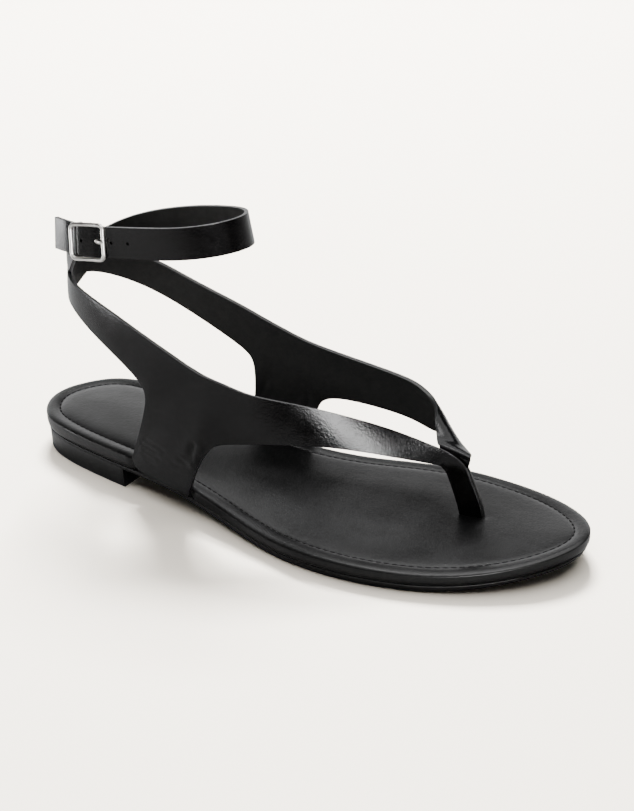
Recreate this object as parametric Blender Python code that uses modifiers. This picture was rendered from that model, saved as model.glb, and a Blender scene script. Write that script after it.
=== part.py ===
"""Toe post sandal, right foot, with a crossed ankle strap and a centre bar buckle.

Toe towards +X, inner side of the foot towards +Y, floor at z = 0.
Tables are in millimetres, with x measured forward from the back of the heel.
"""
import math

import bpy
import bmesh
import numpy as np
from mathutils import Vector

MM = 0.001

# Driving sizes, millimetres
ORIGIN = (124.8, -7.9)         # middle of the sole's box, from the back of the heel
GAP = 0.3                      # clearance between neighbouring pieces
CORNER_GAP = 0.55              # the same clearance measured across a square corner
LEG_CUT = 22.0                 # legs and post are seated in the footbed below this height
LEATHER = 1.6                  # wall of every strap
OUTSOLE_THICKNESS = 3.4
HEEL_LIFT = 8.2                # height of the heel block with its gap
HEEL_BREAST = 59.0             # front face of the heel block
PITCH_END = 150.0              # the sole reaches the floor here
SPRING_START = 195.0           # the toe starts to rise here
TOE_SPRING = 5.5
STRAP_WIDTH = 13.0
LASTING_MARGIN = 8.0           # leather turned in under the footbed
LEG_PROUD = 0.4                # middle of a leg's wall outside the footbed's rim
STRAP_CROWN = 0.05             # outward bulge of a strap, as a share of its width
ANKLE_CENTRE = (60.0, 0.0)     # the ankle strap leans away from here

# Toe post: a flat stem of two layers that leans back from its slit to the straps
POST_WIDTH = 9.6
POST_THICKNESS = 3.4
POST_TAPER = 0.06              # widening towards the straps
POST_BEVEL = 0.8
POST_FOOT = (200.4, 3.6)
POST_HEAD = (194.8, 3.0, 28.6)
POST_FORE = (1.0, 0.12, 0.0)   # direction of its width

# Fineness of the curved pieces
OUTLINE_POINTS = 76
OUTLINE_DETAIL = 24            # curve samples between two sections of the plan
COLUMNS_PER_ROW = 3
CROSS_STEPS = 6
SOLE_STEP = 15.0               # spacing of the sole's bending lines

# Plan of the footbed's rim: half widths on the outer (lateral) and inner (medial) side
HEEL_BACK = (0.6, 0.8)
TOE_TIP = (249.0, -0.5)
SOLE_SECTIONS = [
    # x, lateral, medial
    (6.8, -14.6, 17.0),
    (25.0, -24.8, 27.4),
    (62.0, -32.2, 23.8),
    (103.0, -39.0, 19.6),
    (140.0, -48.6, 26.0),
    (175.0, -50.8, 34.8),
    (210.0, -41.8, 33.3),
    (237.5, -23.2, 19.8),
]

# Rolled edge of the footbed, from its underside up and in over the rim to the padded bed
RIM_PROFILE = [
    # inset, height
    (1.8, 0.0),
    (0.6, 0.8),
    (0.0, 2.2),
    (0.5, 3.6),
    (1.8, 4.6),
    (3.6, 4.9),
    (5.6, 4.7),
    (7.0, 4.3),
    (9.0, 4.6),
    (14.0, 4.9),
]
OUTSOLE_PROFILE = [
    (1.7, 0.0),
    (0.9, 0.7),
    (0.9, OUTSOLE_THICKNESS),
]
HEEL_PROFILE = [
    (2.0, 0.0),
    (1.4, 0.5),
    (1.2, HEEL_LIFT - GAP),
]

# Outer band, from the toe post back along the outer side: the upper edge and the lower edge.
# Between the two leg rows the lower edge is the foot of the leg, placed by the rim and the outsole.
OUTER_BAND = [
    # name, upper x, y, z, lower x, y, z
    ("tip", 198.5, 2.6, 30.2, 199.5, 2.9, 27.0),
    ("fold", 191.5, 1.0, 34.0, 194.0, 1.6, 28.0),
    ("toe", 184.5, -3.0, 38.6, 186.5, -4.6, 31.2),
    ("joint", 170.5, -11.0, 45.6, 172.5, -15.0, 35.9),
    ("ball", 149.0, -23.0, 53.5, 150.5, -27.0, 39.9),
    ("instep", 129.0, -32.0, 57.6, 123.5, -36.2, 38.7),
    ("arch", 118.5, -35.6, 61.0, 110.0, -38.2, 34.0),
    ("leg_bend", 111.0, -37.0, 63.0, 102.0, -38.6, 21.5),
    ("leg_front", 107.0, -37.2, 64.0, 97.5, 0.0, 0.0),
    ("leg_rear", 99.0, -36.9, 66.6, 67.5, 0.0, 0.0),
    ("leg_back", 94.0, -36.5, 68.4, 70.0, -34.6, 24.0),
    ("fork", 82.0, -35.0, 72.2, 77.8, -35.8, 43.5),
    ("branch", 70.5, -32.5, 75.4, 75.0, -34.7, 53.8),
    ("side", 56.0, -28.4, 78.4, 60.0, -31.0, 61.6),
    ("ankle", 40.0, -22.0, 79.8, 41.5, -24.0, 67.4),
    ("turn", 25.5, -12.5, 80.6, 25.5, -13.5, 70.8),
    ("back", 18.4, 0.0, 83.5, 17.6, 0.2, 70.4),
    ("cross", 22.5, 10.5, 90.0, 20.0, 10.0, 76.0),
]

# Inner band, from the toe post back along the inner side
INNER_BAND = [
    # name, upper x, y, z, lower x, y, z
    ("tuck", 191.5, 4.4, 27.5, 199.0, 5.6, 26.0),
    ("tip", 187.3, 3.6, 34.6, 198.4, 5.0, 30.2),
    ("toe", 182.5, 9.5, 38.6, 192.4, 10.4, 29.6),
    ("knuckle", 178.4, 14.8, 42.2, 184.4, 16.4, 28.9),
    ("joint", 172.6, 19.6, 46.4, 174.4, 22.4, 29.4),
    ("ball", 162.0, 22.2, 49.6, 162.0, 25.0, 31.4),
    ("instep", 146.0, 22.8, 51.6, 147.0, 24.8, 33.0),
    ("arch", 127.0, 23.0, 53.8, 127.5, 24.0, 32.6),
    ("leg_bend", 117.5, 22.8, 55.4, 119.2, 22.4, 25.5),
    ("leg_front", 112.0, 22.7, 56.6, 117.0, 0.0, 0.0),
    ("leg_rear", 101.0, 22.2, 60.1, 88.5, 0.0, 0.0),
    ("leg_back", 95.0, 22.0, 62.2, 90.2, 21.0, 26.0),
    ("fork", 84.5, 21.7, 65.7, 90.0, 22.0, 40.0),
    ("branch", 73.5, 21.5, 69.2, 82.5, 22.3, 47.8),
    ("side", 59.0, 20.6, 73.8, 62.0, 21.8, 57.2),
    ("ankle", 42.0, 17.4, 80.5, 40.0, 19.0, 66.4),
    ("turn", 25.5, 8.0, 86.5, 24.0, 9.6, 73.4),
    ("back", 20.6, -1.5, 88.8, 19.0, -0.5, 75.4),
    ("rise", 25.0, -11.0, 92.6, 23.4, -9.6, 79.6),
]

# Long end of the ankle strap, onward from the outer band: middle line and outward lean
LONG_STRAP = [
    # x, y, z, lean in degrees
    (36.0, 18.0, 91.2, 4.0),
    (58.0, 21.0, 97.6, 4.0),
    (80.0, 18.8, 102.4, 8.0),
    (96.0, 11.5, 106.4, 12.0),
    (103.6, 0.0, 108.6, 13.0),
    (99.0, -11.0, 108.2, 11.0),
    (86.0, -18.2, 106.4, 7.0),
    (68.0, -20.8, 104.2, 3.0),
]

# Straps at the buckle: distance behind the centre bar and height out of the strap's plane
LONG_STRAP_WEAVE = [
    # along, out
    (-8.2, 0.0),
    (-3.6, 1.7),
    (0.0, 2.4),
    (3.6, 1.7),
    (8.2, 0.0),
    (12.5, 0.2),
    (17.0, 0.9),
]
SHORT_STRAP_FOLD = [
    # along, out
    (9.0, -1.5),
    (4.0, -0.4),
    (1.2, 0.7),
    (-1.2, 0.5),
    (-1.9, -1.0),
    (-0.8, -2.7),
    (4.0, -3.1),
    (9.0, -3.0),
    (14.0, -3.0),
]

# Buckle frame, a bent wire with a centre bar
BUCKLE_CENTRE = (44.8, -20.8, 101.0)
BUCKLE_TANGENT = (-1.0, 0.05, -0.05)
BUCKLE_LENGTH = 18.0
BUCKLE_HEIGHT = 17.4
BUCKLE_CORNER = 3.6
WIRE_RADIUS = 0.8
OUTER_BARS_OUT = 1.9
CENTRE_BAR_OUT = -1.0
CENTRE_BAR_RADIUS = 0.78
CORNER_STEPS = 6
PRONG_RADIUS = 0.6
PRONG_RING = WIRE_RADIUS + GAP + PRONG_RADIUS
PRONG_REST = OUTER_BARS_OUT + WIRE_RADIUS + GAP + PRONG_RADIUS
PRONG_HOOK = (-130.0, 90.0)    # degrees round the centre bar
PRONG_HOOK_STEPS = 9
PRONG_TONGUE = [
    # along, out
    (-4.0, 2.3),
    (-7.0, PRONG_REST),
    (-9.2, PRONG_REST),
]


def clear_scene():
    for old in list(bpy.data.objects):
        bpy.data.objects.remove(old, do_unlink=True)


def make_collection(name):
    collection = bpy.data.collections.new(name)
    bpy.context.scene.collection.children.link(collection)
    return collection


def make_material(name, colour, roughness, metallic=0.0):
    material = bpy.data.materials.new(name)
    material.use_nodes = True
    shader = material.node_tree.nodes["Principled BSDF"]
    shader.inputs["Base Color"].default_value = (*colour, 1.0)
    shader.inputs["Roughness"].default_value = roughness
    shader.inputs["Metallic"].default_value = metallic
    return material


def to_frame(point):
    """Turns millimetres from the back of the heel into metres in the part's frame."""
    return Vector(((point[0] - ORIGIN[0]) * MM, (point[1] - ORIGIN[1]) * MM, point[2] * MM))


def smooth_step(start, end, value):
    t = min(max((value - start) / (end - start), 0.0), 1.0)
    return t * t * (3.0 - 2.0 * t)


def sole_lift(x):
    """Height of the outsole's underside: heel pitch, flat tread and toe spring."""
    pitch = HEEL_LIFT * (1.0 - smooth_step(HEEL_BREAST + 1.0, PITCH_END, x))
    rise = max(x - SPRING_START, 0.0) / (TOE_TIP[0] - SPRING_START)
    return pitch + TOE_SPRING * rise * rise


def spline(points, samples, closed=False):
    """Cubic spline through the points, sampled the same number of times between each two."""
    knots = np.array(points, dtype=float)
    count = len(knots)
    system = np.zeros((count, count))
    right = np.zeros_like(knots)
    for i in range(count):
        before, after = (i - 1) % count, (i + 1) % count
        if closed or 0 < i < count - 1:
            system[i, before], system[i, i], system[i, after] = 1.0, 4.0, 1.0
            right[i] = 3.0 * (knots[after] - knots[before])
        else:
            inner = after if i == 0 else before
            system[i, i], system[i, inner] = 2.0, 1.0
            right[i] = 3.0 * (knots[inner] - knots[i]) * (1.0 if i == 0 else -1.0)
    slopes = np.linalg.solve(system, right)
    curve = []
    for i in range(count if closed else count - 1):
        after = (i + 1) % count
        for step in range(samples):
            t = step / samples
            curve.append((2 * t**3 - 3 * t**2 + 1) * knots[i] + (t**3 - 2 * t**2 + t) * slopes[i]
                         + (3 * t**2 - 2 * t**3) * knots[after] + (t**3 - t**2) * slopes[after])
    if not closed:
        curve.append(knots[-1])
    return np.array(curve)


def even_spacing(curve, count):
    """Closed curve sampled again at equal distances."""
    loop = np.vstack([curve, curve[:1]])
    length = np.concatenate([[0.0], np.cumsum(np.linalg.norm(np.diff(loop, axis=0), axis=1))])
    places = np.linspace(0.0, length[-1], count, endpoint=False)
    return np.stack([np.interp(places, length, loop[:, axis]) for axis in range(loop.shape[1])], axis=1)


def sole_outline():
    medial = [(x, inner) for x, outer, inner in SOLE_SECTIONS]
    lateral = [(x, outer) for x, outer, inner in reversed(SOLE_SECTIONS)]
    plan = spline([HEEL_BACK, *medial, TOE_TIP, *lateral], OUTLINE_DETAIL, closed=True)
    return even_spacing(plan, OUTLINE_POINTS)


OUTLINE = sole_outline()


def inset_outline(inset):
    tangent = np.roll(OUTLINE, -1, axis=0) - np.roll(OUTLINE, 1, axis=0)
    tangent /= np.linalg.norm(tangent, axis=1)[:, None]
    inward = np.stack([tangent[:, 1], -tangent[:, 0]], axis=1)
    return OUTLINE + inward * inset


def add_object(name, mesh, collection, material=None):
    obj = bpy.data.objects.new(name, mesh)
    collection.objects.link(obj)
    if material:
        mesh.materials.append(material)
    return obj


def mark_cutter(obj):
    obj.hide_render = True
    obj.display_type = 'WIRE'


def bisect(bm, x, clear_front=False):
    geometry = bm.verts[:] + bm.edges[:] + bm.faces[:]
    return bmesh.ops.bisect_plane(bm, geom=geometry, dist=1e-5, plane_co=(x, 0.0, 0.0),
                                  plane_no=(1.0, 0.0, 0.0), clear_outer=clear_front)


def finish_mesh(bm, name, sharp_angle=40.0):
    bmesh.ops.recalc_face_normals(bm, faces=bm.faces[:])
    for vert in bm.verts:
        vert.co = to_frame(vert.co)
    mesh = bpy.data.meshes.new(name)
    bm.to_mesh(mesh)
    bm.free()
    mesh.shade_smooth()
    mesh.set_sharp_from_angle(angle=math.radians(sharp_angle))
    return mesh


def ringed_slab(name, profile, base, bends, front=None):
    """Stack of the sole's outlines, closed above and below, bent to the sole's side profile."""
    bm = bmesh.new()
    rings = []
    for inset, height in profile:
        rings.append([bm.verts.new((x, y, base + height)) for x, y in inset_outline(inset)])
    for low, high in zip(rings, rings[1:]):
        for i in range(OUTLINE_POINTS):
            j = (i + 1) % OUTLINE_POINTS
            bm.faces.new((low[i], low[j], high[j], high[i]))
    bm.faces.new(rings[0])
    bm.faces.new(rings[-1])
    if front is not None:
        bisect(bm, front, clear_front=True)
        bmesh.ops.holes_fill(bm, edges=[edge for edge in bm.edges if edge.is_boundary], sides=0)
    if bends:
        for x in bends:
            bisect(bm, x)
        for vert in bm.verts:
            vert.co.z += sole_lift(vert.co.x)
    bmesh.ops.triangulate(bm, faces=[face for face in bm.faces if len(face.verts) > 4])
    return finish_mesh(bm, name)


def sole_bends():
    pitch = np.arange(HEEL_BREAST + 1.0, PITCH_END, SOLE_STEP)
    spring = np.linspace(SPRING_START, TOE_TIP[0] - 6.0, 6)
    return [*pitch, PITCH_END, *spring]


def buckle_axes():
    """Directions behind, across and out of the strap at the buckle."""
    along = Vector(BUCKLE_TANGENT).normalized()
    out = Vector((along.y, -along.x, 0.0)).normalized() * -1.0
    across = along.cross(out).normalized()
    return along, across, out


def at_buckle(along, across, out):
    axes = buckle_axes()
    offset = axes[0] * along + axes[1] * across + axes[2] * out
    return Vector(BUCKLE_CENTRE) + offset


def rim_edge(x, side):
    """Sideways place of the rim, on the outer side for side 1 and the inner side for side -1."""
    edge = OUTLINE[OUTLINE[:, 1] * side < 0.0]
    order = np.argsort(edge[:, 0])
    return float(np.interp(x, edge[order, 0], edge[order, 1]))


def leg_foot(x, side):
    """Foot of a leg: one gap over the outsole, just outside the rim."""
    return (x, rim_edge(x, side) - side * LEG_PROUD, sole_lift(x) + OUTSOLE_THICKNESS + GAP + LEATHER / 2)


def band_rows(table, side):
    """Edges of a side band, and the rows where the leg's foot starts and ends."""
    upper, lower, corners = [], [], []
    for index, (name, ux, uy, uz, lx, ly, lz) in enumerate(table):
        upper.append((ux, uy, uz))
        if name in ("leg_front", "leg_rear"):
            corners.append(index)
            lower.append(leg_foot(lx, side))
        else:
            lower.append((lx, ly, lz))
    return upper, lower, corners


def strap_rows(table):
    """Edges of the ankle strap's loop, its lower edge leaning away from the ankle."""
    upper, lower = [], []
    for x, y, z, lean in table:
        out = Vector((x - ANKLE_CENTRE[0], y - ANKLE_CENTRE[1], 0.0)).normalized()
        half = STRAP_WIDTH / 2
        slant = math.radians(lean)
        step = Vector((0.0, 0.0, half * math.cos(slant))) - out * half * math.sin(slant)
        upper.append(tuple(Vector((x, y, z)) + step))
        lower.append(tuple(Vector((x, y, z)) - step))
    return upper, lower


def buckle_rows(table):
    upper, lower = [], []
    for along, out in table:
        upper.append(tuple(at_buckle(along, STRAP_WIDTH / 2, out)))
        lower.append(tuple(at_buckle(along, -STRAP_WIDTH / 2, out)))
    return upper, lower


def edge_curve(points, corners):
    """Spline through a band's edge, broken at its corners."""
    stops = [0, *corners, len(points) - 1]
    pieces = [spline(points[a:b + 1], COLUMNS_PER_ROW) for a, b in zip(stops, stops[1:])]
    return np.vstack([piece[:-1] for piece in pieces[:-1]] + [pieces[-1]])


def band_mesh(name, upper, lower, corners, side):
    """Open sheet between two edges, crowned outwards, with the leg's foot turned in under the bed."""
    top = edge_curve(upper, [])
    low = edge_curve(lower, corners)
    first, last = (corner * COLUMNS_PER_ROW for corner in corners)
    low[first:last + 1] = [leg_foot(x, side) for x in low[first:last + 1, 0]]
    bm = bmesh.new()
    columns = []
    for i, (a, b) in enumerate(zip(top, low)):
        before, after = max(i - 1, 0), min(i + 1, len(top) - 1)
        run = (top[after] + low[after]) - (top[before] + low[before])
        out = np.cross(b - a, run) * side
        out /= np.linalg.norm(out)
        bulge = STRAP_CROWN * np.linalg.norm(b - a)
        column = []
        for step in range(CROSS_STEPS + 1):
            v = step / CROSS_STEPS
            column.append(bm.verts.new(a + (b - a) * v + out * bulge * 4 * v * (1 - v)))
        columns.append(column)
    for left, right in zip(columns, columns[1:]):
        for step in range(CROSS_STEPS):
            bm.faces.new((left[step], left[step + 1], right[step + 1], right[step]))
    turn_under(bm, columns[first:last + 1], side)
    return finish_mesh(bm, name)


def turn_under(bm, columns, side):
    margin = []
    for column in columns:
        foot = column[-1].co
        inner = bm.verts.new((foot.x, foot.y + side * LASTING_MARGIN, foot.z))
        margin.append((column[-1], inner))
    for (a, b), (c, d) in zip(margin, margin[1:]):
        bm.faces.new((a, b, d, c))


def thicken(obj):
    wall = obj.modifiers.new("Leather", 'SOLIDIFY')
    wall.thickness = LEATHER * MM
    wall.offset = 0.0
    wall.use_even_offset = False


def boolean(obj, other, operation):
    cut = obj.modifiers.new(operation.title(), 'BOOLEAN')
    cut.operation = operation
    cut.solver = 'EXACT'
    cut.object = other


def frozen_mesh(obj, name):
    """Evaluated shape of an object, welded."""
    bpy.context.view_layer.update()
    depsgraph = bpy.context.evaluated_depsgraph_get()
    mesh = bpy.data.meshes.new_from_object(obj.evaluated_get(depsgraph))
    mesh.name = name
    bm = bmesh.new()
    bm.from_mesh(mesh)
    bmesh.ops.remove_doubles(bm, verts=bm.verts[:], dist=1e-6)
    bm.to_mesh(mesh)
    bm.free()
    return mesh


def keep_below(mesh, height):
    """Cuts off what stands over a height and closes the cut."""
    bm = bmesh.new()
    bm.from_mesh(mesh)
    bmesh.ops.bisect_plane(bm, geom=bm.verts[:] + bm.edges[:] + bm.faces[:], dist=1e-6,
                           plane_co=(0.0, 0.0, height * MM), plane_no=(0.0, 0.0, 1.0), clear_outer=True)
    bmesh.ops.holes_fill(bm, edges=[edge for edge in bm.edges if edge.is_boundary], sides=0)
    bm.to_mesh(mesh)
    bm.free()


def clearance(obj, collection, distance=GAP, height=None):
    """Copy of a piece grown on all sides, which cuts room for it in its neighbour."""
    mesh = frozen_mesh(obj, obj.name + "_clearance")
    if height:
        keep_below(mesh, height)
    grown = add_object(obj.name + "_clearance", mesh, collection)
    push = grown.modifiers.new("Grow", 'DISPLACE')
    push.strength = distance * MM
    push.mid_level = 0.0
    mark_cutter(grown)
    return grown


def tube(name, points, radius, collection, closed=False):
    """Round wire along the points, made a mesh."""
    curve = bpy.data.curves.new(name, 'CURVE')
    curve.dimensions = '3D'
    curve.bevel_depth = radius * MM
    curve.bevel_resolution = 2
    curve.use_fill_caps = not closed
    line = curve.splines.new('POLY')
    line.points.add(len(points) - 1)
    for target, point in zip(line.points, points):
        target.co = (*to_frame(point), 1.0)
    line.use_cyclic_u = closed
    wire = bpy.data.objects.new(name + "_wire", curve)
    collection.objects.link(wire)
    mesh = frozen_mesh(wire, name)
    bpy.data.objects.remove(wire, do_unlink=True)
    mesh.shade_smooth()
    mesh.set_sharp_from_angle(angle=math.radians(50.0))
    return mesh


def build_sole(parts, black_rubber, black_edge, bed_leather):
    bends = sole_bends()
    outsole = ringed_slab("outsole", OUTSOLE_PROFILE, 0.0, bends)
    add_object("outsole", outsole, parts, black_rubber)
    heel = ringed_slab("heel", HEEL_PROFILE, 0.0, None, front=HEEL_BREAST)
    add_object("heel", heel, parts, black_edge)
    bed = ringed_slab("footbed", RIM_PROFILE, OUTSOLE_THICKNESS + GAP, bends)
    return add_object("footbed", bed, parts, bed_leather)


def post_mesh():
    """Flat stem from its seat over the outsole up to the straps."""
    foot = Vector((*POST_FOOT, sole_lift(POST_FOOT[0]) + OUTSOLE_THICKNESS + 2 * GAP))
    fore = Vector(POST_FORE).normalized()
    rise = Vector(POST_HEAD) - foot
    sideways = rise.normalized().cross(fore).normalized()
    bm = bmesh.new()
    bmesh.ops.create_cube(bm, size=1.0)
    upright = [edge for edge in bm.edges if edge.verts[0].co.z * edge.verts[1].co.z < 0.0]
    bmesh.ops.subdivide_edges(bm, edges=upright, cuts=3)
    for vert in bm.verts:
        x, y, z = vert.co
        width = POST_WIDTH * (1.0 + POST_TAPER * (z + 0.5))
        vert.co = foot + rise * (z + 0.5) + fore * x * width + sideways * y * POST_THICKNESS
    return finish_mesh(bm, "post")


def build_upper(parts, cutters, leather):
    upper, lower, corners = band_rows(OUTER_BAND, 1.0)
    for more in (strap_rows(LONG_STRAP), buckle_rows(LONG_STRAP_WEAVE)):
        upper += more[0]
        lower += more[1]
    outer = add_object("upper", band_mesh("upper", upper, lower, corners, 1.0), parts, leather)
    thicken(outer)

    upper, lower, corners = band_rows(INNER_BAND, -1.0)
    more = buckle_rows(SHORT_STRAP_FOLD)
    sheet = band_mesh("inner_band", upper + more[0], lower + more[1], corners, -1.0)
    inner = add_object("inner_band", sheet, cutters)
    thicken(inner)
    mark_cutter(inner)
    boolean(outer, inner, 'UNION')

    post = add_object("post", post_mesh(), cutters)
    bevel = post.modifiers.new("Rounded", 'BEVEL')
    bevel.width = POST_BEVEL * MM
    bevel.segments = 2
    mark_cutter(post)
    boolean(outer, post, 'UNION')
    return outer


def frame_path():
    """Rounded rectangle of the buckle, dished so that its ends stand over the strap."""
    half_long, half_high = BUCKLE_LENGTH / 2 - WIRE_RADIUS, BUCKLE_HEIGHT / 2 - WIRE_RADIUS
    points = []
    for turn, (a, b) in enumerate(((1, 1), (-1, 1), (-1, -1), (1, -1))):
        centre = (a * (half_long - BUCKLE_CORNER), b * (half_high - BUCKLE_CORNER))
        for step in range(CORNER_STEPS):
            angle = math.radians(90.0 * (turn + step / (CORNER_STEPS - 1)))
            along = centre[0] + BUCKLE_CORNER * math.cos(angle)
            across = centre[1] + BUCKLE_CORNER * math.sin(angle)
            points.append((along, across))
        if turn in (0, 2):
            points.append((0.0, b * half_high))
    dish = OUTER_BARS_OUT - CENTRE_BAR_OUT
    return [at_buckle(s, w, CENTRE_BAR_OUT + dish * smooth_step(0.0, half_long, abs(s))) for s, w in points]


def build_buckle(parts, cutters, metal):
    wire = tube("buckle_frame", frame_path(), WIRE_RADIUS, parts, closed=True)
    frame = add_object("buckle_frame", wire, parts, metal)
    reach = BUCKLE_HEIGHT / 2 - WIRE_RADIUS
    bar = [at_buckle(0.0, -reach, CENTRE_BAR_OUT), at_buckle(0.0, reach, CENTRE_BAR_OUT)]
    centre = add_object("centre_bar", tube("centre_bar", bar, CENTRE_BAR_RADIUS, cutters), cutters)
    mark_cutter(centre)
    boolean(frame, centre, 'UNION')

    path = []
    for angle in np.radians(np.linspace(*PRONG_HOOK, PRONG_HOOK_STEPS)):
        out = CENTRE_BAR_OUT + PRONG_RING * math.sin(angle)
        path.append(at_buckle(PRONG_RING * math.cos(angle), 0.0, out))
    for along, out in PRONG_TONGUE:
        path.append(at_buckle(along, 0.0, out))
    prong = add_object("buckle_prong", tube("buckle_prong", path, PRONG_RADIUS, parts), parts, metal)
    return frame, prong


def main():
    clear_scene()
    parts = make_collection("toe_post_sandal")
    cutters = make_collection("cutters")
    black_rubber = make_material("outsole_black", (0.014, 0.014, 0.015), 0.55)
    black_edge = make_material("heel_black", (0.018, 0.018, 0.019), 0.5)
    bed_leather = make_material("footbed_leather", (0.035, 0.035, 0.036), 0.5)
    strap_leather = make_material("strap_leather", (0.02, 0.021, 0.023), 0.35)
    nickel = make_material("nickel", (0.78, 0.77, 0.74), 0.18, 1.0)

    footbed = build_sole(parts, black_rubber, black_edge, bed_leather)
    upper = build_upper(parts, cutters, strap_leather)
    frame, prong = build_buckle(parts, cutters, nickel)
    boolean(upper, clearance(frame, cutters), 'DIFFERENCE')
    boolean(upper, clearance(prong, cutters), 'DIFFERENCE')
    boolean(footbed, clearance(upper, cutters, CORNER_GAP, LEG_CUT), 'DIFFERENCE')


main()
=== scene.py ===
import math

import bpy
import numpy as np
from mathutils import Euler, Matrix, Vector


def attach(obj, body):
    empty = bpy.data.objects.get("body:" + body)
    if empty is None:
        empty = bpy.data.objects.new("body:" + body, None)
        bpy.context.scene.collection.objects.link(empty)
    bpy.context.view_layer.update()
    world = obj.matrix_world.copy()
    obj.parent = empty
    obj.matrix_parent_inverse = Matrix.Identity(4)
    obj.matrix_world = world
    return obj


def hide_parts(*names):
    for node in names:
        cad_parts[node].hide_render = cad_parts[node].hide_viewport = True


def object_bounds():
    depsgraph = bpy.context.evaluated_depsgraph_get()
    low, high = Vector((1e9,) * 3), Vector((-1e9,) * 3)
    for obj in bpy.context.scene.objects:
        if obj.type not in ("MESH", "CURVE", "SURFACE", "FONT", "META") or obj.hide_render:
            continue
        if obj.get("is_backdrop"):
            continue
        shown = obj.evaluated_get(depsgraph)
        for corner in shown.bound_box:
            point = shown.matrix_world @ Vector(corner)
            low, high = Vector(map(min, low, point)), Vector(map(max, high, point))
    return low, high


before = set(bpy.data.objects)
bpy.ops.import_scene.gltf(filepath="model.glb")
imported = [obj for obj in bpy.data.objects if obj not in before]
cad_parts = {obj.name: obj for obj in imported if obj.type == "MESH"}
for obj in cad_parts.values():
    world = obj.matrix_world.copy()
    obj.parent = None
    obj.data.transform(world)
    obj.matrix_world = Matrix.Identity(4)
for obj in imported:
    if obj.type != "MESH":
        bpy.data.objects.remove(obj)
cadLow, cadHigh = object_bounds()
print("frame loaded:", ", ".join(sorted(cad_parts)))

mm = 0.001
middle = (124.8, -7.9, 0.0)      # the frame's origin, in mm from the back of the heel
leatherThickness = 1.6
mergeDistance = 2e-6             # in metres
edgeBevel = {
    "segments": 2,
    "sharperThan": 60.0,         # degrees
}


# Selecting and applying

def deselect():
    if bpy.context.mode != "OBJECT":
        bpy.ops.object.mode_set(mode="OBJECT")
    bpy.ops.object.select_all(action="DESELECT")


def pick(*pieces):
    deselect()
    for piece in pieces:
        piece.select_set(True)
    bpy.context.view_layer.objects.active = pieces[0]


def applyModifiers(piece):
    pick(piece)
    for modifier in list(piece.modifiers):
        bpy.ops.object.modifier_apply(modifier=modifier.name)


def editAll(piece, *steps):      # runs mesh operators on everything in a piece
    pick(piece)
    bpy.ops.object.mode_set(mode="EDIT")
    bpy.ops.mesh.select_all(action="SELECT")
    for step in steps:
        step()
    bpy.ops.object.mode_set(mode="OBJECT")


def mergeDoubles():
    bpy.ops.mesh.remove_doubles(threshold=mergeDistance)


def faceOutwards():
    bpy.ops.mesh.normals_make_consistent(inside=False)


def roundEdges(piece, width):
    rounding = piece.modifiers.new("edges", "BEVEL")
    rounding.width = width * mm
    rounding.segments = edgeBevel["segments"]
    rounding.angle_limit = math.radians(edgeBevel["sharperThan"])
    applyModifiers(piece)


def smoothShade(piece, angle):      # edges sharper than the angle stay sharp
    pick(piece)
    bpy.ops.object.shade_smooth_by_angle(angle=math.radians(angle))


def joinAll(name, pieces):
    pick(*pieces)
    bpy.ops.object.join()
    pieces[0].name = pieces[0].data.name = name
    return pieces[0]


def finishPiece(piece, nodes, slot, *materials):
    piece.data.materials.clear()
    for material in materials:
        piece.data.materials.append(material)
    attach(piece, "root")
    for node in nodes:
        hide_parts(node)


# Curves, in mm from the back of the heel

def smoothStep(start, end, value):
    t = np.clip((np.asarray(value, float) - start) / (end - start), 0.0, 1.0)
    return t * t * (3.0 - 2.0 * t)


def splineThrough(points, samples, closed=False):
    knots = np.array(points, dtype=float)
    count = len(knots)
    system = np.zeros((count, count))
    right = np.zeros_like(knots)
    for i in range(count):
        before, after = (i - 1) % count, (i + 1) % count
        if closed or 0 < i < count - 1:
            system[i, before], system[i, i], system[i, after] = 1.0, 4.0, 1.0
            right[i] = 3.0 * (knots[after] - knots[before])
        else:
            inner = after if i == 0 else before
            system[i, i], system[i, inner] = 2.0, 1.0
            right[i] = 3.0 * (knots[inner] - knots[i]) * (1.0 if i == 0 else -1.0)
    slopes = np.linalg.solve(system, right)
    curve = []
    for i in range(count if closed else count - 1):
        after = (i + 1) % count
        for t in np.arange(samples) / samples:
            curve.append((2 * t**3 - 3 * t**2 + 1) * knots[i] + (t**3 - 2 * t**2 + t) * slopes[i]
                         + (3 * t**2 - 2 * t**3) * knots[after] + (t**3 - t**2) * slopes[after])
    if not closed:
        curve.append(knots[-1])
    return np.array(curve)


def unit(rows):
    return rows / np.linalg.norm(rows, axis=1)[:, None]


def lengthAlong(curve):
    return np.concatenate([[0.0], np.cumsum(np.linalg.norm(np.diff(curve, axis=0), axis=1))])


def pointsAt(marks, length, curve):      # a curve's points at these lengths along it
    return np.stack([np.interp(marks, length, curve[:, axis]) for axis in range(curve.shape[1])], axis=1)


def evenSpacing(curve, count):      # round a closed curve
    loop = np.vstack([curve, curve[:1]])
    length = lengthAlong(loop)
    return pointsAt(np.linspace(0.0, length[-1], count, endpoint=False), length, loop)


def toFrame(points):
    return (np.asarray(points, float) - middle) * mm


def loft(name, rows, ringClosed=False, pathClosed=False):      # a grid laid over rows of points
    rows = np.asarray(rows, float)
    if ringClosed:
        rows = np.concatenate([rows, rows[:, :1]], axis=1)
    if pathClosed:
        rows = np.concatenate([rows, rows[:1]], axis=0)
    count, width = rows.shape[:2]
    deselect()
    bpy.ops.mesh.primitive_grid_add(x_subdivisions=width - 1, y_subdivisions=count - 1, size=1.0)
    piece = bpy.context.object
    piece.name = piece.data.name = name
    piece.data.vertices.foreach_set("co", toFrame(rows).ravel())
    piece.data.update()
    if ringClosed or pathClosed:
        editAll(piece, mergeDoubles)
    return piece


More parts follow.
